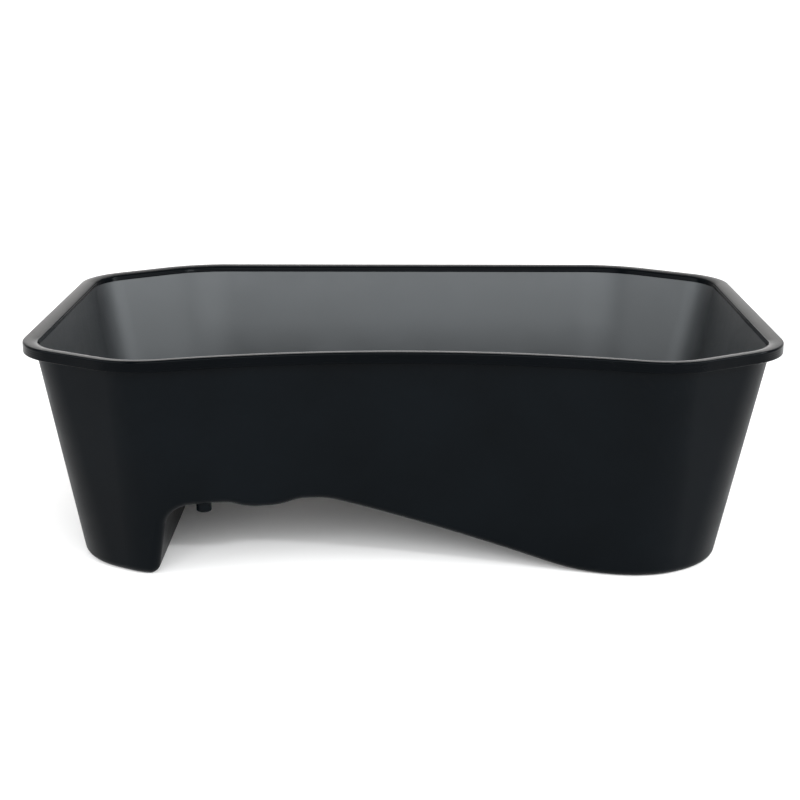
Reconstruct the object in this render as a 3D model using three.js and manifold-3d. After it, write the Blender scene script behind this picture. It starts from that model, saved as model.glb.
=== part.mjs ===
// Deep paint roller tray: an eight-sided tub with a bowed front, a deep well at the right-hand end
// (+X), a ribbed ramp that climbs to a raised shelf, and a hollow box leg under the left-hand end.
// The real tray is one moulding. Here its walls, floors and rim are named pieces that meet with a
// hair-line gap, so each can be handled on its own.
// Millimetres, +Z up. The origin is on the standing surface, under the middle of the rim.
import * as THREE from "three";
import { mergeVertices } from "three/addons/utils/BufferGeometryUtils.js";
import Module from "manifold-3d";

// Size over the rim, and the thickness of the moulding. The front's corners are rounded, so the
// rim's foremost points lie about 4 mm behind the line where the front's ends would be sharp.
const LENGTH = 500;
const BACK_EDGE = 168;
const FRONT_LINE = -172;
const HEIGHT = 154;
const WALL = 2.5;
const GAP = 0.3;

// Rim: a flat flange outside the walls, with a short skirt hanging from its edge.
const RIM_OVERHANG = 7;
const RIM_THICKNESS = 2.5;
const SKIRT_HEIGHT = 7.5;
const SKIRT_THICKNESS = 2.2;

// Plan: each corner is cut off by a slanting side, and the front side is bowed inwards.
const FRONT_CUT = { along: 77.4, across: 45.9 };
const BACK_CUT = { along: 78.3, across: 52.9 };
const FRONT_BOW = { top: 30.7, bottom: 24 };
const RIM_ROUNDING = 48;
const WALL_ROUNDING = { top: 42, bottom: 57 };
const ROUNDING_STEPS = 7;
const FRONT_STEPS = 18;

// The corners at the ends of the straight back wall are rounded more than the others.
const BACK_CORNERS = [4, 5];
const BACK_EXTRA_ROUNDING = 42;

// The eight sides, anticlockwise from the front, and how far each leans in for each mm it drops.
const SIDES = [
  { name: "front_wall", draft: 0.16 },
  { name: "front_right_corner_wall", draft: 0.165 },
  { name: "right_end_wall", draft: 0.185 },
  { name: "back_right_corner_wall", draft: 0.155 },
  { name: "back_wall", draft: 0.145 },
  { name: "back_left_corner_wall", draft: 0.155 },
  { name: "left_end_wall", draft: 0.15 },
  { name: "front_left_corner_wall", draft: 0.165 },
];

// Underside, as an outline in X and Z that is the same from front to back.
const SHELF_UNDERSIDE = 50;
const LEG_WALL = { foot: -161.8, head: -153, rounding: 14 };
const TROUGH = { centre: -92, mouth: 46, bed: 20, depth: 4.4, mouthRounding: 5, bedRounding: 7 };
const RAMP = { head: -49.5, foot: 116.4, headRounding: 9, footRounding: 20 };
const PROFILE_STEPS = 6;

// Roll-off ribs across the ramp.
const RIB = { count: 9, pitch: 14, first: -24, height: 1.6, base: 4, crest: 1.6, length: 200 };

// Round peg under the shelf, close to the front wall.
const PEG = { x: -130.5, y: -129.5, diameter: 10, bottom: 43.8 };

// Where the floor is divided along X, and the names of its pieces from left to right.
const FLOOR_CUTS = [-LENGTH, -164.6, -140, -117, -67, -41, 137, LENGTH];
const FLOOR_NAMES = [
  "leg_floor",
  "leg_inner_wall",
  "shelf_leg_side",
  "shelf_roller_trough",
  "shelf_ramp_side",
  "ribbed_ramp",
  "well_floor",
];

const gloss = new THREE.MeshStandardMaterial({ color: 0x14171a, roughness: 0.25, metalness: 0 });
const satin = new THREE.MeshStandardMaterial({ color: 0x1a1f24, roughness: 0.45, metalness: 0 });

const wasm = await Module();
wasm.setup();

// A closed geometry as a solid that can be joined and cut.
function solid(geometry) {
  const bare = geometry.clone();
  bare.deleteAttribute("normal");
  bare.deleteAttribute("uv");
  const merged = mergeVertices(bare, 1e-4);
  return new wasm.Manifold(
    new wasm.Mesh({
      numProp: 3,
      vertProperties: new Float32Array(merged.attributes.position.array),
      triVerts: new Uint32Array(merged.index.array),
    }),
  );
}

// A solid as a named mesh.
function part(name, body, material) {
  const { vertProperties, triVerts } = body.getMesh();
  const geometry = new THREE.BufferGeometry();
  geometry.setAttribute("position", new THREE.BufferAttribute(vertProperties, 3));
  geometry.setIndex(new THREE.BufferAttribute(triVerts, 1));
  geometry.computeVertexNormals();
  const mesh = new THREE.Mesh(geometry, material);
  mesh.name = name;
  return mesh;
}

// Where two lines cross, each given by a point and a direction.
function crossing(a, b) {
  const along = b.point.clone().sub(a.point).cross(b.direction) / a.direction.cross(b.direction);
  return a.point.clone().addScaledVector(a.direction, along);
}

// The corners of the rim's outer edge, before rounding; side k runs from corner k to the next.
function rimCorners() {
  const x = LENGTH / 2;
  const frontX = x - FRONT_CUT.along;
  const frontY = FRONT_LINE + FRONT_CUT.across;
  const backX = x - BACK_CUT.along;
  const backY = BACK_EDGE - BACK_CUT.across;
  return [
    new THREE.Vector2(-frontX, FRONT_LINE),
    new THREE.Vector2(frontX, FRONT_LINE),
    new THREE.Vector2(x, frontY),
    new THREE.Vector2(x, backY),
    new THREE.Vector2(backX, BACK_EDGE),
    new THREE.Vector2(-backX, BACK_EDGE),
    new THREE.Vector2(-x, backY),
    new THREE.Vector2(-x, frontY),
  ];
}

// The lines of the eight sides, each moved in from the rim's outer edge by insetOf(side).
function sideLines(insetOf) {
  const corners = rimCorners();
  return SIDES.map((side, k) => {
    const direction = corners[(k + 1) % corners.length].clone().sub(corners[k]).normalize();
    const inward = new THREE.Vector2(-direction.y, direction.x);
    return { point: corners[k].clone().addScaledVector(inward, insetOf(side)), direction };
  });
}

function sideCorners(lines) {
  return lines.map((line, k) => crossing(lines.at(k - 1), line));
}

// A closed plan outline with rounded corners and a bowed front, anticlockwise.
function outline(insetOf, bow, rounding) {
  const lines = sideLines(insetOf);
  const corners = sideCorners(lines);
  const halfFront = corners[1].x;
  const frontAt = (x) => ({
    point: new THREE.Vector2(x, corners[0].y + bow * (1 - (x / halfFront) ** 2)),
    direction: new THREE.Vector2(1, (-2 * bow * x) / halfFront ** 2).normalize(),
  });
  const roundings = corners.map((corner, k) => {
    const before = k === 1 ? frontAt(halfFront) : lines.at(k - 1);
    const after = k === 0 ? frontAt(-halfFront) : lines[k];
    const turn = Math.acos(before.direction.dot(after.direction));
    const extra = BACK_CORNERS.includes(k) ? BACK_EXTRA_ROUNDING : 0;
    const reach = (rounding + extra) * Math.tan(turn / 2);
    const on = (line, distance) => ({
      point: corner.clone().addScaledVector(line.direction, distance),
      direction: line.direction,
    });
    const start = k === 1 ? frontAt(halfFront - reach) : on(before, -reach);
    const end = k === 0 ? frontAt(reach - halfFront) : on(after, reach);
    return { start, end };
  });
  const curve = (start, end, steps) =>
    new THREE.QuadraticBezierCurve(start.point, crossing(start, end), end.point).getPoints(steps);
  const front = curve(roundings[0].end, roundings[1].start, FRONT_STEPS).slice(1, -1);
  const rounded = roundings.map(({ start, end }) => curve(start, end, ROUNDING_STEPS));
  return [...rounded[0], ...front, ...rounded.slice(1).flat()];
}

// The walls' outline at a height, moved in by a further inset.
function wallOutline(z, inset) {
  const up = z / HEIGHT;
  return outline(
    (side) => RIM_OVERHANG + side.draft * (HEIGHT - z) + inset,
    THREE.MathUtils.lerp(FRONT_BOW.bottom, FRONT_BOW.top, up),
    THREE.MathUtils.lerp(WALL_ROUNDING.bottom, WALL_ROUNDING.top, up) - inset,
  );
}

// The rim's outline, moved in by an inset.
function rimOutline(inset) {
  return outline(() => inset, FRONT_BOW.top, RIM_ROUNDING - inset);
}

// The solid between two plan outlines that have the same number of points.
function loft(lower, zLower, upper, zUpper) {
  const count = lower.length;
  const positions = [
    ...lower.flatMap((p) => [p.x, p.y, zLower]),
    ...upper.flatMap((p) => [p.x, p.y, zUpper]),
  ];
  const index = [];
  for (let i = 0; i < count; i++) {
    const j = (i + 1) % count;
    index.push(i, j, count + j, i, count + j, count + i);
  }
  for (const [a, b, c] of THREE.ShapeUtils.triangulateShape(lower, [])) index.push(a, c, b);
  for (const [a, b, c] of THREE.ShapeUtils.triangulateShape(upper, [])) {
    index.push(count + a, count + b, count + c);
  }
  const geometry = new THREE.BufferGeometry();
  geometry.setAttribute("position", new THREE.Float32BufferAttribute(positions, 3));
  geometry.setIndex(index);
  return solid(geometry);
}

// The tub's outside, or its inside where inset is the wall's thickness.
function tub(inset, zLower, zUpper) {
  return loft(wallOutline(zLower, inset), zLower, wallOutline(zUpper, inset), zUpper);
}

// A closed outline in X and Z, extended from front to back.
function crosswise(points, length) {
  const geometry = new THREE.ExtrudeGeometry(new THREE.Shape(points), {
    depth: length,
    bevelEnabled: false,
  });
  geometry.translate(0, 0, -length / 2);
  geometry.rotateX(Math.PI / 2);
  return solid(geometry);
}

// A closed outline in X and Y, extended upwards past the tray at both ends.
function upright(points) {
  const geometry = new THREE.ExtrudeGeometry(new THREE.Shape(points), {
    depth: 2 * HEIGHT,
    bevelEnabled: false,
  });
  geometry.translate(0, 0, -HEIGHT / 2);
  return solid(geometry);
}

function box(x0, x1, y0, y1, z0, z1) {
  const geometry = new THREE.BoxGeometry(x1 - x0, y1 - y0, z1 - z0);
  geometry.translate((x0 + x1) / 2, (y0 + y1) / 2, (z0 + z1) / 2);
  return solid(geometry);
}

// A line through corner points, each rounded by a curve that starts `rounding` before it.
function roundedLine(points) {
  return points.flatMap(({ x, z, rounding }, k) => {
    const corner = new THREE.Vector2(x, z);
    if (!rounding) return [corner];
    const towards = (other) =>
      new THREE.Vector2(other.x, other.z).sub(corner).setLength(rounding).add(corner);
    const curve = new THREE.QuadraticBezierCurve(
      towards(points[k - 1]),
      corner,
      towards(points[k + 1]),
    );
    return curve.getPoints(PROFILE_STEPS);
  });
}

// The underside, from left to right.
function undersideLine() {
  const bed = SHELF_UNDERSIDE - TROUGH.depth;
  const trough = (side, width, z, rounding) => ({
    x: TROUGH.centre + (side * width) / 2,
    z,
    rounding,
  });
  return roundedLine([
    { x: -LENGTH, z: 0 },
    { x: LEG_WALL.foot, z: 0 },
    { x: LEG_WALL.head, z: SHELF_UNDERSIDE, rounding: LEG_WALL.rounding },
    trough(-1, TROUGH.mouth, SHELF_UNDERSIDE, TROUGH.mouthRounding),
    trough(-1, TROUGH.bed, bed, TROUGH.bedRounding),
    trough(1, TROUGH.bed, bed, TROUGH.bedRounding),
    trough(1, TROUGH.mouth, SHELF_UNDERSIDE, TROUGH.mouthRounding),
    { x: RAMP.head, z: SHELF_UNDERSIDE, rounding: RAMP.headRounding },
    { x: RAMP.foot, z: 0, rounding: RAMP.footRounding },
    { x: LENGTH, z: 0 },
  ]);
}

// A line moved to its left by a distance, with square corners kept square.
function offsetLine(points, distance) {
  const normal = (a, b) => new THREE.Vector2(a.y - b.y, b.x - a.x).normalize();
  return points.map((point, k) => {
    const before = normal(points[Math.max(k - 1, 0)], points[Math.max(k, 1)]);
    const after = k + 1 < points.length ? normal(point, points[k + 1]) : before;
    const mean = before.add(after).normalize();
    return point.clone().addScaledVector(mean, distance / mean.dot(after));
  });
}

// Everything above the underside.
function aboveUnderside() {
  const roof = 2 * HEIGHT;
  return crosswise(
    [...undersideLine(), new THREE.Vector2(LENGTH, roof), new THREE.Vector2(-LENGTH, roof)],
    2 * LENGTH,
  );
}

function makeRim() {
  const flangeBottom = HEIGHT - RIM_THICKNESS;
  const skirtBottom = HEIGHT - SKIRT_HEIGHT;
  const outer = loft(rimOutline(0), skirtBottom, rimOutline(0), HEIGHT);
  const underFlange = loft(
    rimOutline(SKIRT_THICKNESS),
    skirtBottom - 1,
    rimOutline(SKIRT_THICKNESS),
    flangeBottom,
  );
  const mouth = tub(WALL, skirtBottom - 1, HEIGHT + 1);
  return part("rim", outer.subtract(underFlange).subtract(mouth), gloss);
}

// The plan region of one side: it ends on upright planes through the corners of the tub.
function sideRegion(k) {
  const atTop = sideCorners(sideLines((side) => RIM_OVERHANG));
  const atBottom = sideCorners(sideLines((side) => RIM_OVERHANG + side.draft * HEIGHT));
  const reach = 60;
  const cut = (corner, into) => {
    const outward = atTop[corner].clone().sub(atBottom[corner]).normalize();
    const shift = new THREE.Vector2(-outward.y, outward.x).multiplyScalar((into * GAP) / 2);
    return {
      outer: atTop[corner].clone().addScaledVector(outward, reach).add(shift),
      inner: atBottom[corner].clone().addScaledVector(outward, -reach).add(shift),
    };
  };
  const start = cut(k, 1);
  const end = cut((k + 1) % SIDES.length, -1);
  return upright([start.outer, end.outer, end.inner, start.inner]);
}

function makeWalls() {
  const top = HEIGHT - RIM_THICKNESS - GAP;
  const shell = tub(0, 0, top)
    .subtract(tub(WALL, -1, top + 1))
    .intersect(aboveUnderside());
  return SIDES.map((side, k) => part(side.name, shell.intersect(sideRegion(k)), satin));
}

// The ribs across the ramp, each a low ridge with sloping flanks.
function makeRibs() {
  const slope = Math.atan2(SHELF_UNDERSIDE, RAMP.foot - RAMP.head);
  const sunk = WALL / 2;
  const ridge = [
    new THREE.Vector2(-RIB.base / 2, -sunk),
    new THREE.Vector2(RIB.base / 2, -sunk),
    new THREE.Vector2(RIB.base / 2, 0),
    new THREE.Vector2(RIB.crest / 2, RIB.height),
    new THREE.Vector2(-RIB.crest / 2, RIB.height),
    new THREE.Vector2(-RIB.base / 2, 0),
  ];
  return Array.from({ length: RIB.count }, (_, i) => {
    const x = RIB.first + i * RIB.pitch;
    const z = (RAMP.foot - x) * Math.tan(slope) + WALL / Math.cos(slope);
    const turned = ridge.map((p) => {
      const point = p.clone().rotateAround(new THREE.Vector2(), -slope);
      return point.add(new THREE.Vector2(x, z));
    });
    return crosswise(turned, RIB.length);
  });
}

function makeFloors() {
  const underside = undersideLine();
  const slab = crosswise([...underside, ...offsetLine(underside, WALL).reverse()], 2 * LENGTH)
    .intersect(tub(WALL + GAP, -1, HEIGHT));
  return FLOOR_NAMES.map((name, k) => {
    const left = FLOOR_CUTS[k] + GAP / 2;
    const right = FLOOR_CUTS[k + 1] - GAP / 2;
    const plain = slab.intersect(box(left, right, -LENGTH, LENGTH, -1, HEIGHT));
    const ribs = name === "ribbed_ramp" ? makeRibs() : [];
    return part(name, ribs.reduce((body, rib) => body.add(rib), plain), satin);
  });
}

function makePeg() {
  const top = SHELF_UNDERSIDE - GAP;
  const length = top - PEG.bottom;
  const geometry = new THREE.CylinderGeometry(PEG.diameter / 2, PEG.diameter / 2, length, 32);
  const peg = new THREE.Mesh(geometry, satin);
  peg.name = "shelf_peg";
  peg.rotation.x = Math.PI / 2;
  peg.position.set(PEG.x, PEG.y, PEG.bottom + length / 2);
  return peg;
}

const tray = new THREE.Group();
tray.add(makeRim(), ...makeWalls(), ...makeFloors(), makePeg());

export default tray;
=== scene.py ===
"""Black plastic paint roller tray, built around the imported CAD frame.

Every CAD node gets a visual piece of its own. The pieces share their edges exactly, so that the walls,
floors and rim read as the one smooth moulding that the real tray is, with its fillets and its grain.
Lengths are in millimetres until a mesh is made, which turns them into metres.
"""

import math

import bpy
import numpy as np
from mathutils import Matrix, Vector


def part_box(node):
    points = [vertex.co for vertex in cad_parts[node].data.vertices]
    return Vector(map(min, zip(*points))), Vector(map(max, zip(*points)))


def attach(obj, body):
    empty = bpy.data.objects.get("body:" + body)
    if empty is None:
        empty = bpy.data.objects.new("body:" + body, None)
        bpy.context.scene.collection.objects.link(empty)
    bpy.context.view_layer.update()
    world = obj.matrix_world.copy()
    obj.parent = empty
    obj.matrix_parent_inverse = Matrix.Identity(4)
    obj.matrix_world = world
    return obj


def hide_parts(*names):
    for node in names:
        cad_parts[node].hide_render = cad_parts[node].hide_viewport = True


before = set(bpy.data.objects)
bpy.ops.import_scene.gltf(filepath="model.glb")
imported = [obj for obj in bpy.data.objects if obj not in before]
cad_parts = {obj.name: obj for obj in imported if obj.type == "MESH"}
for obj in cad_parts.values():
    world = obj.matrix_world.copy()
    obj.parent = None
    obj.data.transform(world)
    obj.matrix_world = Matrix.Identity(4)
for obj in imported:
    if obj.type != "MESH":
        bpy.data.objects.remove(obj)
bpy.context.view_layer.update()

MM = 0.001

# ---------------------------------------------------------------- sizes, in mm

rim_low, rim_high = (np.array(corner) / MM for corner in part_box("rim"))
LENGTH = rim_high[0] - rim_low[0]
HEIGHT = rim_high[2]
BACK_EDGE = rim_high[1]
FRONT_LINE = -172.0
WALL = 2.5

RIM_OVERHANG = 7.0
RIM_THICKNESS = 2.6
SKIRT_HEIGHT = 7.5
SKIRT_THICKNESS = 2.2
LIP_HEIGHT = 4.6
LIP_DEPTH = 2.6
LIP_LEAN = 1.25
CROWN_OUTER_SLOPE, CROWN_INNER_SLOPE = 8.0, 19.0
CROWN_STEPS = 8
FRONT_CUT = (77.4, 45.9)
BACK_CUT = (78.3, 52.9)
BOW_TOP, BOW_BOTTOM = 30.7, 24.0
RIM_ROUNDING, ROUNDING_TOP, ROUNDING_BOTTOM = 48.0, 42.0, 57.0

# The corners at the ends of the straight back wall are rounded more than the others.
BACK_CORNERS = (4, 5)
BACK_EXTRA_ROUNDING = 42.0

# How far each side leans in for each mm it drops, anticlockwise from the front.
DRAFTS = (0.16, 0.165, 0.185, 0.155, 0.145, 0.155, 0.15, 0.165)
SIDE_NODES = (
    "front_wall",
    "front_right_corner_wall",
    "right_end_wall",
    "back_right_corner_wall",
    "back_wall",
    "back_left_corner_wall",
    "left_end_wall",
    "front_left_corner_wall",
)

SHELF = 50.0
EDGE_RADIUS = 6.0
FOOT_RADIUS = 7.5
LEG_FOOT, LEG_HEAD, LEG_RADIUS = -161.8, -153.0, 16.5
TROUGH_CENTRE, TROUGH_MOUTH, TROUGH_BED, TROUGH_DEPTH = -92.0, 46.0, 20.0, 4.4
TROUGH_MOUTH_RADIUS, TROUGH_BED_RADIUS = 30.0, 42.0
RAMP_HEAD, RAMP_FOOT, RAMP_HEAD_RADIUS, RAMP_FOOT_RADIUS = -49.5, 116.4, 61.0, 135.0

FLOOR_NODES = (
    "leg_floor",
    "leg_inner_wall",
    "shelf_leg_side",
    "shelf_roller_trough",
    "shelf_ramp_side",
    "ribbed_ramp",
    "well_floor",
)
FLOOR_CUTS = (-164.6, -140.0, -117.0, -67.0, -41.0, 137.0)

# How finely the surfaces are divided.
CORNER_SAMPLES = 90
SIDE_SAMPLES = 240
CORNER_STRIDE = 6
SIDE_STRIDE = 40
FRONT_STRIDE = 12
CLOSEST_ROWS = 0.12
ACROSS = 20
UP = 14
FILLET = 6
LONGEST_STRAIGHT = 6.0
ROW_CLEARANCE = 1.0
SETTLING_ROUNDS = 4
SECTION_STEPS = 5

# Roundings of the rim's section, from the crown's outer edge round to the skirt.
CROWN_OUTER_EDGE, CROWN_FACET, CROWN_INNER_EDGE = 1.3, 6.0, 1.8
LIP_EDGE, HIDDEN_EDGE, SKIRT_ROOT, SKIRT_EDGE = 0.3, 0.1, 1.0, 0.8

# Roll-off ribs across the ramp.
RIB_COUNT, RIB_PITCH, RIB_FIRST, RIB_LENGTH = 9, 14.0, -24.0, 200.0
RIB_HEIGHT, RIB_HALF_WIDTH = 1.6, 2.4
RIB_SIDES, RIB_TIP_STEPS = 16, 6

# Peg: the rounding of its tip, its fillet and flare at the shelf, and how far it goes into the shelf.
PEG_TIP, PEG_FILLET, PEG_FLARE, PEG_SUNK = 1.0, 1.2, 1.6, 1.0
PEG_HIDDEN_EDGE, PEG_AXIS_GAP, PEG_AXIS_EDGE = 0.2, 0.05, 0.02
PEG_SIDES = 48

# A piece's two materials, as indices: the outside one darker, with painted shade, and the inside one lighter,
# with painted light.
OUTSIDE, INSIDE = 0, 1

# Sizes of the plastic's patterns, in mm, and how closely its moulding lines lie.
TONE_SIZE, CLOUD_SIZE, SPECK_SIZE = 70, 25, 1.6
CLOUD_SWING, SPECK_SWING = 0.04, 0.02
LINES_PER_METRE = 230.0

# Studio, in metres, and the camera, in mm and degrees. The camera's height is above the rim.
COOL_WHITE = (0.91, 0.965, 1.0)
FLOOR_COLOUR = (0.96, 0.91, 0.88)
WORLD_STRENGTH = 0.92
LIGHTS_AIM = (0, 0, 0.1)
CAMERA_X, CAMERA_Y, CAMERA_ABOVE_RIM = 7.7, -1127.2, 237.7
CAMERA_TILT, CAMERA_TURN = 90 - 15.26, 0.52
CAMERA_SENSOR, CAMERA_LENS = 36.0, 72.0


# ---------------------------------------------------------------- plan outlines


def crossing(p, d, q, e):
    """Where the line through p along d meets the line through q along e."""
    along = ((q - p)[0] * e[1] - (q - p)[1] * e[0]) / (d[0] * e[1] - d[1] * e[0])
    return p + d * along


def unit(v):
    return v / np.linalg.norm(v, axis=-1, keepdims=True)


def turned(v, angle):
    """A plane vector turned anticlockwise."""
    x = v[0] * math.cos(angle) - v[1] * math.sin(angle)
    y = v[0] * math.sin(angle) + v[1] * math.cos(angle)
    return np.array((x, y))


def turn_between(before, after):
    """The signed angle from one plane direction to the next."""
    return math.atan2(before[0] * after[1] - before[1] * after[0], before @ after)


def plan_outline(insets, bow, rounding):
    """The tub's plan at one height: points of its eight rounded corners and eight sides.

    Corner k joins side k - 1 to side k, anticlockwise from the front-left end of the bowed front.
    """
    x = LENGTH / 2
    front_x, front_y = x - FRONT_CUT[0], FRONT_LINE + FRONT_CUT[1]
    back_x, back_y = x - BACK_CUT[0], BACK_EDGE - BACK_CUT[1]
    rim = np.array(
        [
            (-front_x, FRONT_LINE),
            (front_x, FRONT_LINE),
            (x, front_y),
            (x, back_y),
            (back_x, BACK_EDGE),
            (-back_x, BACK_EDGE),
            (-x, back_y),
            (-x, front_y),
        ]
    )
    along = unit(np.roll(rim, -1, axis=0) - rim)
    start = rim + np.stack([-along[:, 1], along[:, 0]], axis=1) * np.array(insets)[:, None]
    corners = [crossing(start[k - 1], along[k - 1], start[k], along[k]) for k in range(8)]
    half = corners[1][0]

    def front(px):
        slope = -2 * bow * px / half**2
        return np.array((px, corners[0][1] + bow * (1 - (px / half) ** 2))), unit(np.array((1, slope)))

    ends = []
    for k, corner in enumerate(corners):
        before = front(half)[1] if k == 1 else along[k - 1]
        after = front(-half)[1] if k == 0 else along[k]
        extra = BACK_EXTRA_ROUNDING if k in BACK_CORNERS else 0.0
        reach = (rounding + extra) * math.tan(math.acos(before @ after) / 2)
        first = front(half - reach) if k == 1 else (corner - before * reach, before)
        last = front(reach - half) if k == 0 else (corner + after * reach, after)
        ends.append((first, last))

    def arc_pull(first, last):
        return math.sqrt((1 + first[1] @ last[1]) / 2)

    def curve(first, last, samples, pull=1.0):
        t = np.linspace(0, 1, samples, endpoint=False)[:, None]
        control = crossing(*first, *last)
        middle = 2 * t * (1 - t) * pull
        total = (1 - t) ** 2 + middle + t**2
        return ((1 - t) ** 2 * first[0] + middle * control + t**2 * last[0]) / total

    def straight(first, last, samples):
        t = np.linspace(0, 1, samples, endpoint=False)[:, None]
        return (1 - t) * first[0] + t * last[0]

    rounded = [curve(*ends[k], CORNER_SAMPLES, arc_pull(*ends[k])) for k in range(8)]
    sides = [straight(ends[k][1], ends[(k + 1) % 8][0], SIDE_SAMPLES) for k in range(8)]
    sides[0] = curve(ends[0][1], ends[1][0], SIDE_SAMPLES)
    return rounded, sides


def ring(insets, bow, rounding):
    """The plan outline as one loop that starts where the left side ends, at corner 7."""
    rounded, sides = plan_outline(insets, bow, rounding)
    order = [7, 0, 1, 2, 3, 4, 5, 6]
    return np.concatenate([part for k in order for part in (rounded[k], sides[k])])


STRIDE = CORNER_SAMPLES + SIDE_SAMPLES
RING_SIZE = 8 * STRIDE
FRONT_END = 3 * STRIDE + CORNER_SAMPLES
BACK_START = FRONT_END + SIDE_SAMPLES
BACK_END = RING_SIZE - SIDE_SAMPLES

base_insets = [RIM_OVERHANG + draft * HEIGHT for draft in DRAFTS]
ring_rim = ring([0.0] * 8, BOW_TOP, RIM_ROUNDING)
ring_top = ring([RIM_OVERHANG] * 8, BOW_TOP, ROUNDING_TOP)
ring_base = ring(base_insets, BOW_BOTTOM, ROUNDING_BOTTOM)


def wall_surface(index, z):
    """Points and outward normals of the tub's outer wall at fractional ring indices and heights."""
    index, z = np.broadcast_arrays(np.asarray(index, float), np.asarray(z, float))
    low = np.floor(index).astype(int)
    share = (index - low)[..., None]

    def at(loop, shift):
        a = loop[(low + shift) % RING_SIZE]
        b = loop[(low + shift + 1) % RING_SIZE]
        return a * (1 - share) + b * share

    up = (z / HEIGHT)[..., None]
    plan = at(ring_base, 0) * (1 - up) + at(ring_top, 0) * up
    ahead = at(ring_base, 1) * (1 - up) + at(ring_top, 1) * up
    behind = at(ring_base, -1) * (1 - up) + at(ring_top, -1) * up
    along = np.concatenate([ahead - behind, np.zeros_like(up)], axis=-1)
    rise = np.concatenate([(at(ring_top, 0) - at(ring_base, 0)) / HEIGHT, np.ones_like(up)], axis=-1)
    return np.concatenate([plan, z[..., None]], axis=-1), unit(np.cross(along, rise))


# ---------------------------------------------------------------- underside profile


def underside_stations():
    """Points of the underside in X and Z with their inward normals, from the leg's foot rightwards.

    Each corner has its X, its Z, its rounding's radius, and the number of steps round it.
    """
    bed = SHELF - TROUGH_DEPTH
    half_mouth, half_bed = TROUGH_MOUTH / 2, TROUGH_BED / 2
    corners = [
        (LEG_FOOT, 0.0, FOOT_RADIUS, 8),
        (LEG_HEAD, SHELF, LEG_RADIUS, 14),
        (TROUGH_CENTRE - half_mouth, SHELF, TROUGH_MOUTH_RADIUS, 4),
        (TROUGH_CENTRE - half_bed, bed, TROUGH_BED_RADIUS, 5),
        (TROUGH_CENTRE + half_bed, bed, TROUGH_BED_RADIUS, 5),
        (TROUGH_CENTRE + half_mouth, SHELF, TROUGH_MOUTH_RADIUS, 4),
        (RAMP_HEAD, SHELF, RAMP_HEAD_RADIUS, 6),
        (RAMP_FOOT, 0.0, RAMP_FOOT_RADIUS, 10),
    ]
    points = [np.array(c[:2]) for c in corners]
    level = np.array((50, 0))
    chain = [points[0] - level, *points, points[-1] + level]
    stations = []
    for k, (_, _, radius, steps) in enumerate(corners):
        before = unit(chain[k + 1] - chain[k])
        after = unit(chain[k + 2] - chain[k + 1])
        turn = turn_between(before, after)
        reach = radius * math.tan(abs(turn) / 2)
        start = chain[k + 1] - before * reach
        inward = np.array((-before[1], before[0]))
        centre = start + inward * math.copysign(radius, turn)
        for t in np.linspace(0, turn, steps + 1):
            normal = turned(inward, t)
            stations.append((centre - normal * math.copysign(radius, turn), normal))
    return with_straights(stations)


def with_straights(stations):
    """The stations with more put in where two neighbours lie far apart on a straight stretch."""
    full = [stations[0]]
    for (p, n), (q, m) in zip(stations, stations[1:]):
        gap = np.linalg.norm(q - p)
        pieces = max(1, round(gap / LONGEST_STRAIGHT)) if abs(n @ m - 1) < 1e-9 else 1
        full += [(p + (q - p) * i / pieces, n) for i in range(1, pieces)]
        full.append((q, m))
    return full


def station_columns(centre_x, centre_z):
    """Ring indices, front and back, of the wall points whose edge ball is centred at a station."""
    columns = []
    for first, last in ((0, FRONT_END), (BACK_START, BACK_END)):
        indices = np.arange(first, last + 1)
        z = centre_z
        for _ in range(SETTLING_ROUNDS):
            surface, normal = wall_surface(indices, z)
            x = (surface - EDGE_RADIUS * normal)[:, 0]
            order = 1 if first == 0 else -1
            index = np.interp(centre_x, x[::order], indices[::order])
            z = centre_z + EDGE_RADIUS * wall_surface(index, z)[1][2]
        columns.append((index, z))
    return columns


def all_stations():
    """Every station from the left end to the right: ball centre, inward normal, front and back columns."""
    base = EDGE_RADIUS

    def flat(indices):
        surface, normal = wall_surface(indices, base)
        return (surface - EDGE_RADIUS * normal)[:, 0]

    profile = underside_stations()
    front_x = flat(loop_indices(FRONT_END + 1))
    first_x = (profile[0][0] + EDGE_RADIUS * profile[0][1])[0]
    last_x = (profile[-1][0] + EDGE_RADIUS * profile[-1][1])[0]
    up = np.array((0.0, 1.0))
    rows = [(x, base, up) for x in thinned(front_x[front_x < first_x - ROW_CLEARANCE])]
    rows += [(*(p + EDGE_RADIUS * n), n) for p, n in profile]
    right = thinned(front_x[front_x > last_x + ROW_CLEARANCE][::-1])[::-1]
    rows += [(x, base, up) for x in right]
    return rows


def loop_indices(stop):
    """Ring indices up to stop, closer together round the corners and the bowed front."""
    strides = [(CORNER_STRIDE, FRONT_STRIDE if k == 0 else SIDE_STRIDE) for k in (7, 0, 1, 2, 3, 4, 5, 6)]
    indices = []
    for n, (corner, side) in enumerate(strides):
        start = n * STRIDE
        indices += range(start, start + CORNER_SAMPLES, corner)
        indices += range(start + CORNER_SAMPLES, start + STRIDE, side)
    return np.array([i for i in indices if i < stop] + [stop - 1])


def thinned(xs):
    """Positions with those too close to the one before left out."""
    kept = [xs[0]]
    for x in xs[1:]:
        if abs(x - kept[-1]) > CLOSEST_ROWS:
            kept.append(x)
    return np.array(kept)


# ---------------------------------------------------------------- tub surface


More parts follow.
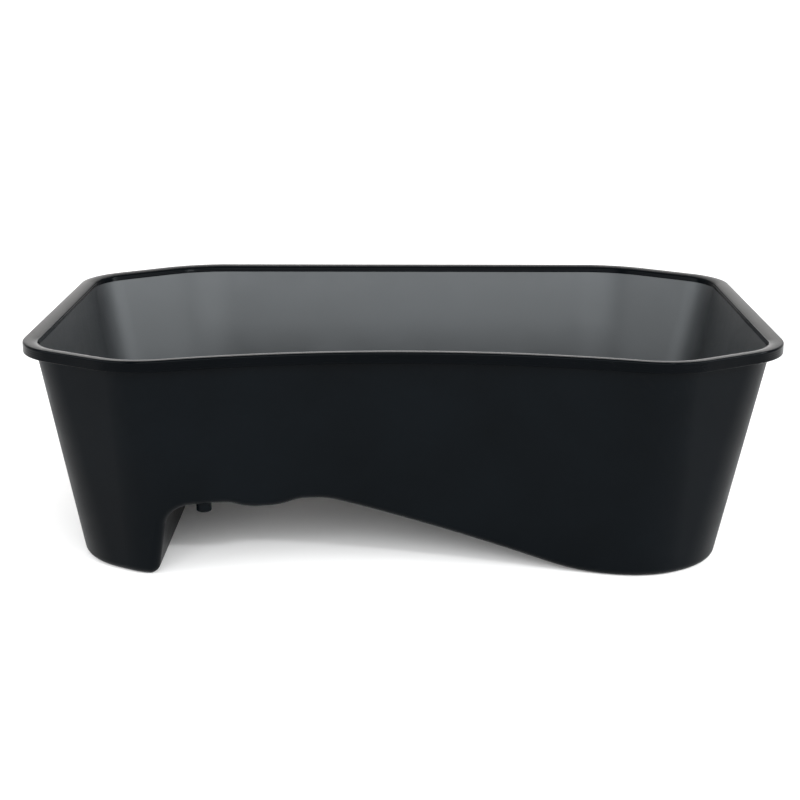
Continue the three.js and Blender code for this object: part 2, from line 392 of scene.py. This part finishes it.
class Tub:
    """The outer surface of the moulding as grids of points and normals."""

    def __init__(self):
        rows = all_stations()
        self.row_normal = np.array([n for _, _, n in rows])
        cols = [station_columns(x, z) for x, z, _ in rows]
        front = [c[0] for c in cols]
        back = [c[1] for c in cols]
        self.rows = len(rows)
        left = self.end_columns(back[0], front[0], BACK_END, RING_SIZE)
        right = self.end_columns(front[-1], back[-1], FRONT_END, BACK_START)
        self.columns = np.array([*front, *right, *back[::-1], *left])
        down = -self.row_normal
        right_end = [down[-1]] * (ACROSS - 1)
        left_end = [down[0]] * (ACROSS - 1)
        downs = [*down, *right_end, *down[::-1], *left_end]
        self.down = np.array([(d[0], 0.0, d[1]) for d in downs])
        self.make_walls()
        self.make_floor()

    def end_columns(self, start, end, first, last):
        """Columns up a straight end wall, spaced evenly between the two rows' last columns."""
        normal_z = wall_surface((first + last) / 2, EDGE_RADIUS)[1][2]
        z = EDGE_RADIUS * (1 + normal_z)
        indices = np.arange(first, last + 1)
        surface, normal = wall_surface(indices, z)
        y = (surface - EDGE_RADIUS * normal)[:, 1]

        def ball_y(column):
            point, outward = wall_surface(*column)
            return (point - EDGE_RADIUS * outward)[1]

        wanted = np.linspace(ball_y(start), ball_y(end), ACROSS + 1)[1:-1]
        order = 1 if y[-1] > y[0] else -1
        return [(i, z) for i in np.interp(wanted, y[::order], indices[::order])]

    def make_walls(self):
        """Wall points for each column, from under the rim down and round the edge to the floor."""
        index, foot = self.columns[:, 0], self.columns[:, 1]
        top = HEIGHT - RIM_THICKNESS
        share = np.linspace(0, 1, UP + 1)[:, None]
        z = top + (foot[None, :] - top) * share
        wall, wall_normal = wall_surface(np.broadcast_to(index, z.shape), z)
        centre = wall[-1] - EDGE_RADIUS * wall_normal[-1]
        side = wall_normal[-1]
        angle = np.arccos(np.clip((side * self.down).sum(-1), -1, 1))[:, None]
        points, normals = [], []
        for t in np.linspace(0, 1, FILLET + 1)[1:]:
            normal = (np.sin((1 - t) * angle) * side + np.sin(t * angle) * self.down) / np.sin(angle)
            normals.append(normal)
            points.append(centre + EDGE_RADIUS * normal)
        self.wall = np.concatenate([wall, points])
        self.wall_normal = np.concatenate([wall_normal, normals])

    def make_floor(self):
        """Floor points: a row for each station, straight across from the front edge to the back."""
        edge = self.wall[-1]
        m = self.rows
        front = edge[:m]
        back = edge[m + ACROSS - 1 : 2 * m + ACROSS - 1][::-1]
        share = np.linspace(0, 1, ACROSS + 1)[None, :, None]
        self.floor = front[:, None] * (1 - share) + back[:, None] * share
        self.floor[-1, 1:-1] = edge[m : m + ACROSS - 1]
        self.floor[0, 1:-1] = edge[2 * m + ACROSS - 1 :][::-1]
        self.floor_normal = np.broadcast_to(self.down[:m, None], self.floor.shape)


# ---------------------------------------------------------------- meshes


class Shells:
    """Vertices, faces, shading normals and material indices gathered from closed shells."""

    def __init__(self):
        self.vertices, self.faces, self.normals, self.sides = [], [], [], []

    def add(self, points, faces, normals, sides):
        first = len(self.vertices)
        self.vertices += list(points)
        self.faces += [tuple(first + i for i in face) for face in faces]
        self.normals += list(normals)
        self.sides += list(sides)

    def into_piece(self, node, materials):
        """Make the mesh piece that rides on the tray's body and stands for a CAD node."""
        mesh = bpy.data.meshes.new(node + "_moulding")
        mesh.from_pydata([tuple(v) for v in np.asarray(self.vertices) * MM], [], self.faces)
        for material in materials:
            mesh.materials.append(material)
        mesh.polygons.foreach_set("material_index", self.sides)
        mesh.polygons.foreach_set("use_smooth", [True] * len(mesh.polygons))
        mesh.normals_split_custom_set([tuple(n) for n in self.normals])
        piece = bpy.data.objects.new(node + "_moulding", mesh)
        bpy.context.scene.collection.objects.link(piece)
        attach(piece, "root")
        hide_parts(node)


def plate(shells, points, normals, thickness):
    """A closed shell between a grid of points and the same grid moved in by the wall's thickness."""
    rows, cols = points.shape[:2]
    outer = points.reshape(-1, 3)
    outward = normals.reshape(-1, 3)
    inner = outer - thickness * outward
    both = np.concatenate([outer, inner])
    back = rows * cols
    faces, loops, sides = [], [], []

    def at(r, c):
        return r * cols + c

    # Outer faces and borders take the outside material with its painted shade; inner faces take the inside
    # one with its painted light.
    def skin(face, sign):
        faces.append(face)
        loops.extend(sign * outward[i % back] for i in face)
        sides.append(OUTSIDE if sign > 0 else INSIDE)

    def border(a, b):
        face = (a, b, b + back, a + back)
        side = unit(np.cross(both[b] - both[a], both[a + back] - both[a]))
        faces.append(face)
        loops.extend([side] * 4)
        sides.append(OUTSIDE)

    for r in range(rows - 1):
        for c in range(cols - 1):
            quad = (at(r, c), at(r + 1, c), at(r + 1, c + 1), at(r, c + 1))
            skin(quad, 1)
            skin(tuple(i + back for i in reversed(quad)), -1)
    for c in range(cols - 1):
        border(at(0, c), at(0, c + 1))
        border(at(rows - 1, c + 1), at(rows - 1, c))
    for r in range(rows - 1):
        border(at(r + 1, 0), at(r, 0))
        border(at(r, cols - 1), at(r + 1, cols - 1))
    shells.add(both, faces, loops, sides)


def rounded_section(corners):
    """A closed outline of (d, z, radius) corners, anticlockwise, as points with outward normals."""
    spots = [np.array(c[:2], float) for c in corners]
    points, normals = [], []
    for k, (_, _, radius) in enumerate(corners):
        before = unit(spots[k] - spots[k - 1])
        after = unit(spots[(k + 1) % len(spots)] - spots[k])
        turn = turn_between(before, after)
        start = spots[k] - before * radius * math.tan(abs(turn) / 2)
        outward = np.array((before[1], -before[0]))
        centre = start - outward * math.copysign(radius, turn)
        for t in np.linspace(0, turn, SECTION_STEPS):
            normal = turned(outward, t)
            points.append(centre + normal * math.copysign(radius, turn))
            normals.append(normal)
    return np.array(points), np.array(normals)


def swept_loop(shells, base, outward, section, section_normals):
    """A closed section carried round a closed plan loop; d runs along outward and z upwards."""
    count, size = len(base), len(section)
    up = np.array((0.0, 0.0, 1.0))
    points = base[:, None] + section[None, :, 0, None] * outward[:, None] + section[None, :, 1, None] * up
    normals = section_normals[None, :, 0, None] * outward[:, None] + section_normals[None, :, 1, None] * up
    flat_normals = normals.reshape(-1, 3)
    faces, loops = [], []
    for i in range(count):
        for j in range(size):
            a, b = i, (i + 1) % count
            c, d = j, (j + 1) % size
            face = (a * size + c, b * size + c, b * size + d, a * size + d)
            faces.append(face)
            loops.extend(flat_normals[v] for v in face)
    shells.add(points.reshape(-1, 3), faces, loops, [OUTSIDE] * len(faces))


# ---------------------------------------------------------------- pieces


def make_walls(tub, shaded_and_lit_plastics):
    """The eight walls, each with the rounded edge at its foot."""
    mid = CORNER_SAMPLES / 2
    borders = [n * STRIDE + mid for n in range(8)]
    index = tub.columns[:, 0]
    cuts = [int(np.abs(index - border).argmin()) for border in borders]
    order = SIDE_NODES[-1:] + SIDE_NODES[:-1]
    for k, name in enumerate(order):
        first, last = cuts[k], cuts[(k + 1) % 8]
        if last < first:
            last += len(index)
        span = np.arange(first, last + 1) % len(index)
        shells = Shells()
        plate(shells, tub.wall[:, span], tub.wall_normal[:, span], WALL)
        shells.into_piece(name, shaded_and_lit_plastics)


def make_floors(tub, shaded_and_lit_plastics):
    """The floor pieces, from the leg to the well; the ramp carries its roll-off ribs."""
    x = tub.floor[:, 0, 0]
    cuts = [0, *(int(np.abs(x - cut).argmin()) for cut in FLOOR_CUTS), len(x) - 1]
    for name, first, last in zip(FLOOR_NODES, cuts, cuts[1:]):
        rows = slice(first, last + 1)
        shells = Shells()
        points = tub.floor[rows].transpose(1, 0, 2)
        plate(shells, points, tub.floor_normal[rows].transpose(1, 0, 2), WALL)
        if name == "ribbed_ramp":
            add_ribs(shells)
        shells.into_piece(name, shaded_and_lit_plastics)


def add_ribs(shells):
    """Low rounded ridges across the ramp, with rounded ends."""
    slope = math.atan2(SHELF, RAMP_FOOT - RAMP_HEAD)
    along = np.array((math.cos(slope), 0.0, -math.sin(slope)))
    across = np.array((0.0, 1.0, 0.0))
    up = np.array((math.sin(slope), 0.0, math.cos(slope)))
    for n in range(RIB_COUNT):
        x = RIB_FIRST + n * RIB_PITCH
        z = (RAMP_FOOT - x) * math.tan(slope) + WALL / math.cos(slope)
        add_ridge(shells, np.array((x, 0.0, z)), along, across, up)


def add_ridge(shells, middle, along, across, up):
    """One ridge: a flattened capsule, half sunk in the floor."""
    around = RIB_SIDES
    half = RIB_LENGTH / 2 - RIB_HALF_WIDTH
    tip = np.linspace(0, math.pi / 2, RIB_TIP_STEPS + 1)
    stations = [(-half - RIB_HALF_WIDTH * math.cos(t), math.sin(t), -math.cos(t)) for t in tip[1:]]
    stations += [(half + RIB_HALF_WIDTH * math.cos(t), math.sin(t), math.cos(t)) for t in tip[:0:-1]]
    points, normals = [], []
    for y, scale, lean in stations:
        for t in np.arange(around) * 2 * math.pi / around:
            side, rise = math.cos(t), math.sin(t)
            offset = RIB_HALF_WIDTH * scale * side * along + RIB_HEIGHT * scale * rise * up
            points.append(middle + y * across + offset)
            slant = RIB_HEIGHT * scale * side * along + RIB_HALF_WIDTH * scale * rise * up
            normals.append(unit(slant + RIB_HEIGHT * lean * across))
    for y, lean in ((-half - RIB_HALF_WIDTH, -1), (half + RIB_HALF_WIDTH, 1)):
        points.append(middle + y * across)
        normals.append(lean * across)
    faces = []
    for i in range(len(stations) - 1):
        for j in range(around):
            k = (j + 1) % around
            faces.append((i * around + j, (i + 1) * around + j, (i + 1) * around + k, i * around + k))
    first_tip, last_tip = len(points) - 2, len(points) - 1
    last = (len(stations) - 1) * around
    for j in range(around):
        k = (j + 1) % around
        faces.append((first_tip, j, k))
        faces.append((last_tip, last + k, last + j))
    loops = [normals[v] for face in faces for v in face]
    shells.add(points, faces, loops, [INSIDE] * len(faces))


def crowned(outer, inner):
    """Section corners of the rim's gently rounded top, from its outer edge to its inner edge."""
    outer_slope = math.radians(CROWN_OUTER_SLOPE)
    inner_slope = math.radians(CROWN_INNER_SLOPE)
    radius = (outer - inner) / (math.sin(outer_slope) + math.sin(inner_slope))
    crest = outer - radius * math.sin(outer_slope)
    slopes = np.linspace(-outer_slope, inner_slope, CROWN_STEPS)
    radii = [CROWN_OUTER_EDGE, *[CROWN_FACET] * (CROWN_STEPS - 2), CROWN_INNER_EDGE]
    return [(crest - radius * math.sin(t), radius * (math.cos(t) - 1), r) for t, r in zip(slopes, radii)]


def make_rim(material):
    """The rim: gently crowned flange, hanging skirt, and a smooth lip down the inside of the mouth."""
    index = loop_indices(RING_SIZE + 1)[:-1]
    plan = ring_top[index]
    outward = (ring_rim[index] - plan) / RIM_OVERHANG
    level = np.full((len(index), 1), HEIGHT)
    base = np.concatenate([plan, level], axis=1)
    outward = np.concatenate([outward, 0 * level], axis=1)
    edge, skirt = RIM_OVERHANG, RIM_OVERHANG - SKIRT_THICKNESS
    corners = [
        *crowned(edge, -LIP_DEPTH),
        (-LIP_DEPTH - LIP_LEAN, -LIP_HEIGHT, LIP_EDGE),
        (-WALL, -LIP_HEIGHT, HIDDEN_EDGE),
        (-WALL, -RIM_THICKNESS, HIDDEN_EDGE),
        (skirt, -RIM_THICKNESS, SKIRT_ROOT),
        (skirt, -SKIRT_HEIGHT, SKIRT_EDGE),
        (edge, -SKIRT_HEIGHT, SKIRT_EDGE),
    ]
    section, section_normals = rounded_section(corners)
    shells = Shells()
    swept_loop(shells, base, outward, section, section_normals)
    shells.into_piece("rim", [material])


def make_peg(material):
    """The round peg under the shelf, with a rounded tip and a small fillet at its root."""
    low, high = (np.array(corner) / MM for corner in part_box("shelf_peg"))
    centre = (low + high) / 2
    radius = (high[0] - low[0]) / 2
    corners = [
        (PEG_AXIS_GAP, low[2], PEG_AXIS_EDGE),
        (radius, low[2], PEG_TIP),
        (radius, SHELF, PEG_FILLET),
        (radius + PEG_FLARE, SHELF, PEG_HIDDEN_EDGE),
        (radius + PEG_FLARE, SHELF + PEG_SUNK, PEG_HIDDEN_EDGE),
        (PEG_AXIS_GAP, SHELF + PEG_SUNK, PEG_AXIS_EDGE),
    ]
    section, section_normals = rounded_section(corners)
    turn = np.arange(PEG_SIDES) * 2 * math.pi / PEG_SIDES
    outward = np.stack([np.cos(turn), np.sin(turn), np.zeros(PEG_SIDES)], axis=1)
    base = np.broadcast_to(np.array((centre[0], centre[1], 0.0)), outward.shape)
    shells = Shells()
    swept_loop(shells, base, outward, section, section_normals)
    shells.into_piece("shelf_peg", [material])


# ---------------------------------------------------------------- materials


def plastic(name, dark, light, roughness, grain_mm, grain_depth, specular, lines_depth=0.0):
    """Black moulded plastic: slow tone changes, uneven gloss, a fine grain and, if deep, level lines."""
    material = bpy.data.materials.new(name)
    material.use_nodes = True
    nodes, links = material.node_tree.nodes, material.node_tree.links
    shader = nodes["Principled BSDF"]
    shader.inputs["Specular IOR Level"].default_value = specular
    place = nodes.new("ShaderNodeTexCoord").outputs["Object"]

    def noise(size_mm, detail, rough=0.5):
        node = nodes.new("ShaderNodeTexNoise")
        node.inputs["Scale"].default_value = 1 / (size_mm * MM)
        node.inputs["Detail"].default_value = detail
        node.inputs["Roughness"].default_value = rough
        links.new(place, node.inputs["Vector"])
        return node.outputs["Fac"]

    def spread(value, low, high, to_low, to_high):
        node = nodes.new("ShaderNodeMapRange")
        for socket, number in zip(("From Min", "From Max", "To Min", "To Max"), (low, high, to_low, to_high)):
            node.inputs[socket].default_value = number
        links.new(value, node.inputs["Value"])
        return node.outputs["Result"]

    def maths(kind, a, b):
        node = nodes.new("ShaderNodeMath")
        node.operation = kind
        for socket, value in zip(node.inputs, (a, b)):
            if isinstance(value, float):
                socket.default_value = value
            else:
                links.new(value, socket)
        return node.outputs[0]

    tone = nodes.new("ShaderNodeMix")
    tone.data_type = "RGBA"
    tone.inputs[6].default_value = (*dark, 1)
    tone.inputs[7].default_value = (*light, 1)
    links.new(spread(noise(TONE_SIZE, 3), 0.35, 0.65, 0, 1), tone.inputs[0])
    links.new(tone.outputs[2], shader.inputs["Base Color"])

    cloud = spread(noise(CLOUD_SIZE, 4), 0.3, 0.7, -CLOUD_SWING, CLOUD_SWING)
    speck = spread(noise(SPECK_SIZE, 2), 0.3, 0.7, -SPECK_SWING, SPECK_SWING)
    uneven = maths("ADD", maths("ADD", cloud, speck), float(roughness))
    links.new(uneven, shader.inputs["Roughness"])

    bump = nodes.new("ShaderNodeBump")
    bump.inputs["Strength"].default_value = 1.0
    bump.inputs["Distance"].default_value = grain_depth * MM
    links.new(noise(grain_mm, 2, 0.6), bump.inputs["Height"])
    if lines_depth:
        wave = nodes.new("ShaderNodeTexWave")
        wave.bands_direction = "Z"
        wave.inputs["Scale"].default_value = LINES_PER_METRE
        wave.inputs["Distortion"].default_value = 0.6
        wave.inputs["Detail"].default_value = 1.0
        links.new(place, wave.inputs["Vector"])
        lines = nodes.new("ShaderNodeBump")
        lines.inputs["Strength"].default_value = 1.0
        lines.inputs["Distance"].default_value = lines_depth * MM
        links.new(wave.outputs["Fac"], lines.inputs["Height"])
        links.new(bump.outputs["Normal"], lines.inputs["Normal"])
        bump = lines
    links.new(bump.outputs["Normal"], shader.inputs["Normal"])
    return material


# ---------------------------------------------------------------- studio


def make_floor_sweep():
    """A plain pale floor that sweeps up behind the tray."""
    near, far, lift = -9.0, 5.0, 4.0
    bend, half, ground = 1.6, 9.0, -0.0003
    bend_steps = 24
    line = [(near, ground), (far - bend, ground)]
    for t in np.linspace(0, math.pi / 2, bend_steps)[1:]:
        line.append((far - bend + bend * math.sin(t), ground + bend - bend * math.cos(t)))
    line.append((far, lift))
    vertices = [(side * half, y, z) for y, z in line for side in (-1, 1)]
    faces = [(2 * i, 2 * i + 1, 2 * i + 3, 2 * i + 2) for i in range(len(line) - 1)]
    mesh = bpy.data.meshes.new("studio_floor")
    mesh.from_pydata(vertices, [], faces)
    mesh.polygons.foreach_set("use_smooth", [True] * len(mesh.polygons))
    material = bpy.data.materials.new("studio_floor_white")
    material.use_nodes = True
    shader = material.node_tree.nodes["Principled BSDF"]
    shader.inputs["Base Color"].default_value = (*FLOOR_COLOUR, 1)
    shader.inputs["Roughness"].default_value = 0.9
    shader.inputs["Specular IOR Level"].default_value = 0.1
    mesh.materials.append(material)
    floor = bpy.data.objects.new("studio_floor", mesh)
    bpy.context.scene.collection.objects.link(floor)


def softbox(name, place, aim, size, watts):
    """A soft rectangular light at a place, turned towards a point; metres."""
    light = bpy.data.lights.new(name, "AREA")
    light.shape = "RECTANGLE"
    light.size, light.size_y = size
    light.energy = watts
    light.color = COOL_WHITE
    lamp = bpy.data.objects.new(name, light)
    lamp.location = place
    lamp.rotation_euler = (Vector(aim) - Vector(place)).to_track_quat("-Z", "Y").to_euler()
    bpy.context.scene.collection.objects.link(lamp)


def make_lights():
    world = bpy.data.worlds.new("studio")
    world.use_nodes = True
    background = world.node_tree.nodes["Background"]
    background.inputs["Color"].default_value = (*COOL_WHITE, 1)
    background.inputs["Strength"].default_value = WORLD_STRENGTH
    bpy.context.scene.world = world
    softbox("front_softbox", place=(0.0, -2.7, 1.3), aim=LIGHTS_AIM, size=(3.3, 1.6), watts=88)
    softbox("left_softbox", place=(-2.75, -1.05, 1.3), aim=LIGHTS_AIM, size=(2.9, 1.6), watts=66)
    softbox("right_softbox", place=(2.75, -1.05, 1.3), aim=LIGHTS_AIM, size=(2.9, 1.6), watts=80)
    softbox("key_lamp", place=(1.7, -2.3, 2.0), aim=LIGHTS_AIM, size=(0.22, 0.22), watts=36)
    softbox("side_lamp", place=(2.7, 0.1, 1.3), aim=LIGHTS_AIM, size=(0.22, 0.22), watts=16)
    softbox("backdrop_softbox", place=(0.0, 2.4, 3.0), aim=(0, 5.0, 1.5), size=(6.0, 1.5), watts=105)
    bpy.context.scene.view_settings.view_transform = "Standard"


def make_camera():
    """The camera, in front and a little above the rim. The tray's depth was worked out with its lens."""
    camera = bpy.data.cameras.new("camera")
    camera.sensor_width = CAMERA_SENSOR
    camera.lens = CAMERA_LENS
    eye = bpy.data.objects.new("camera", camera)
    eye.location = np.array((CAMERA_X, CAMERA_Y, CAMERA_ABOVE_RIM + HEIGHT)) * MM
    eye.rotation_euler = (math.radians(CAMERA_TILT), 0, math.radians(CAMERA_TURN))
    bpy.context.scene.collection.objects.link(eye)
    bpy.context.scene.camera = eye


# Outside plastic: a darker colour and a very low specular level, painted shade that keeps the outer walls
# dark against the bright floor.
outer = plastic(
    "black_plastic_painted_shade",
    dark=(0.0008, 0.0014, 0.002),
    light=(0.0012, 0.002, 0.0028),
    roughness=0.4,
    grain_mm=0.8,
    grain_depth=0.02,
    specular=0.045,
)
# Inside plastic: the same black plastic with a lighter colour and a much higher specular level, painted light
# on the inner walls and ribs; its slightly coarser grain is real.
inner = plastic(
    "black_plastic_painted_light",
    dark=(0.004, 0.0046, 0.005),
    light=(0.0055, 0.0062, 0.007),
    roughness=0.4,
    grain_mm=0.7,
    grain_depth=0.03,
    specular=0.8,
)
# Rim plastic: its low roughness is real gloss; its very low specular level is painted shade that keeps the
# skirt dark.
gloss_with_painted_shade = plastic(
    "black_gloss_plastic_painted_shade",
    dark=(0.0006, 0.001, 0.0014),
    light=(0.0009, 0.0013, 0.0018),
    roughness=0.12,
    grain_mm=3.0,
    grain_depth=0.01,
    specular=0.027,
    lines_depth=0.05,
)
tub = Tub()
make_walls(tub, [outer, inner])
make_floors(tub, [outer, inner])
make_rim(gloss_with_painted_shade)
make_peg(outer)
make_floor_sweep()
make_lights()
make_camera()
